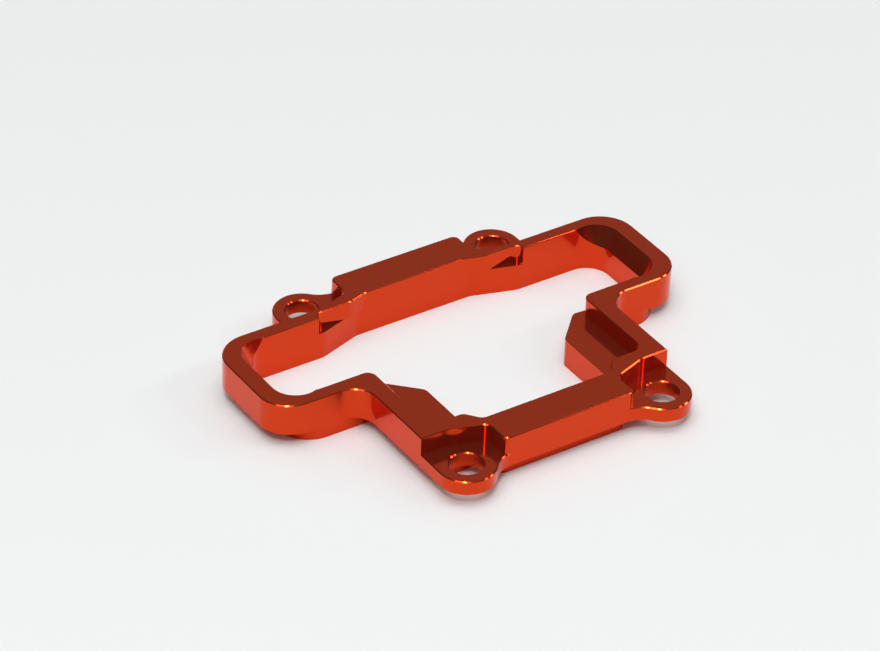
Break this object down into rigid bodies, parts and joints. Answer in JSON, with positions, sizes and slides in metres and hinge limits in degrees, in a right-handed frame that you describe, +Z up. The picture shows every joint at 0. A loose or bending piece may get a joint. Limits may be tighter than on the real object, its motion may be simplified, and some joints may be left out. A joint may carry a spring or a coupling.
{
  "type": "mounting frame",
  "caption": "Flat T-shaped mounting frame milled from aluminium and anodised red, with a long slot behind a squarer window, thin walls, stepped ledges and a screw ear at each corner.",
  "frame": {"origin": "the middle of the four-screw pattern, on the plane that the lip rests on", "axes": "X runs along the long slot, +Y points to the thick back bar, +Z is up, out of the screw seats"},
  "size_m": [0.048, 0.0356, 0.0049],
  "materials": {
    "anodised_red": "glossy red anodising"
  },
  "bodies": {
    "root": {"mount_frame": "anodised_red"}
  },
  "joints": []
}
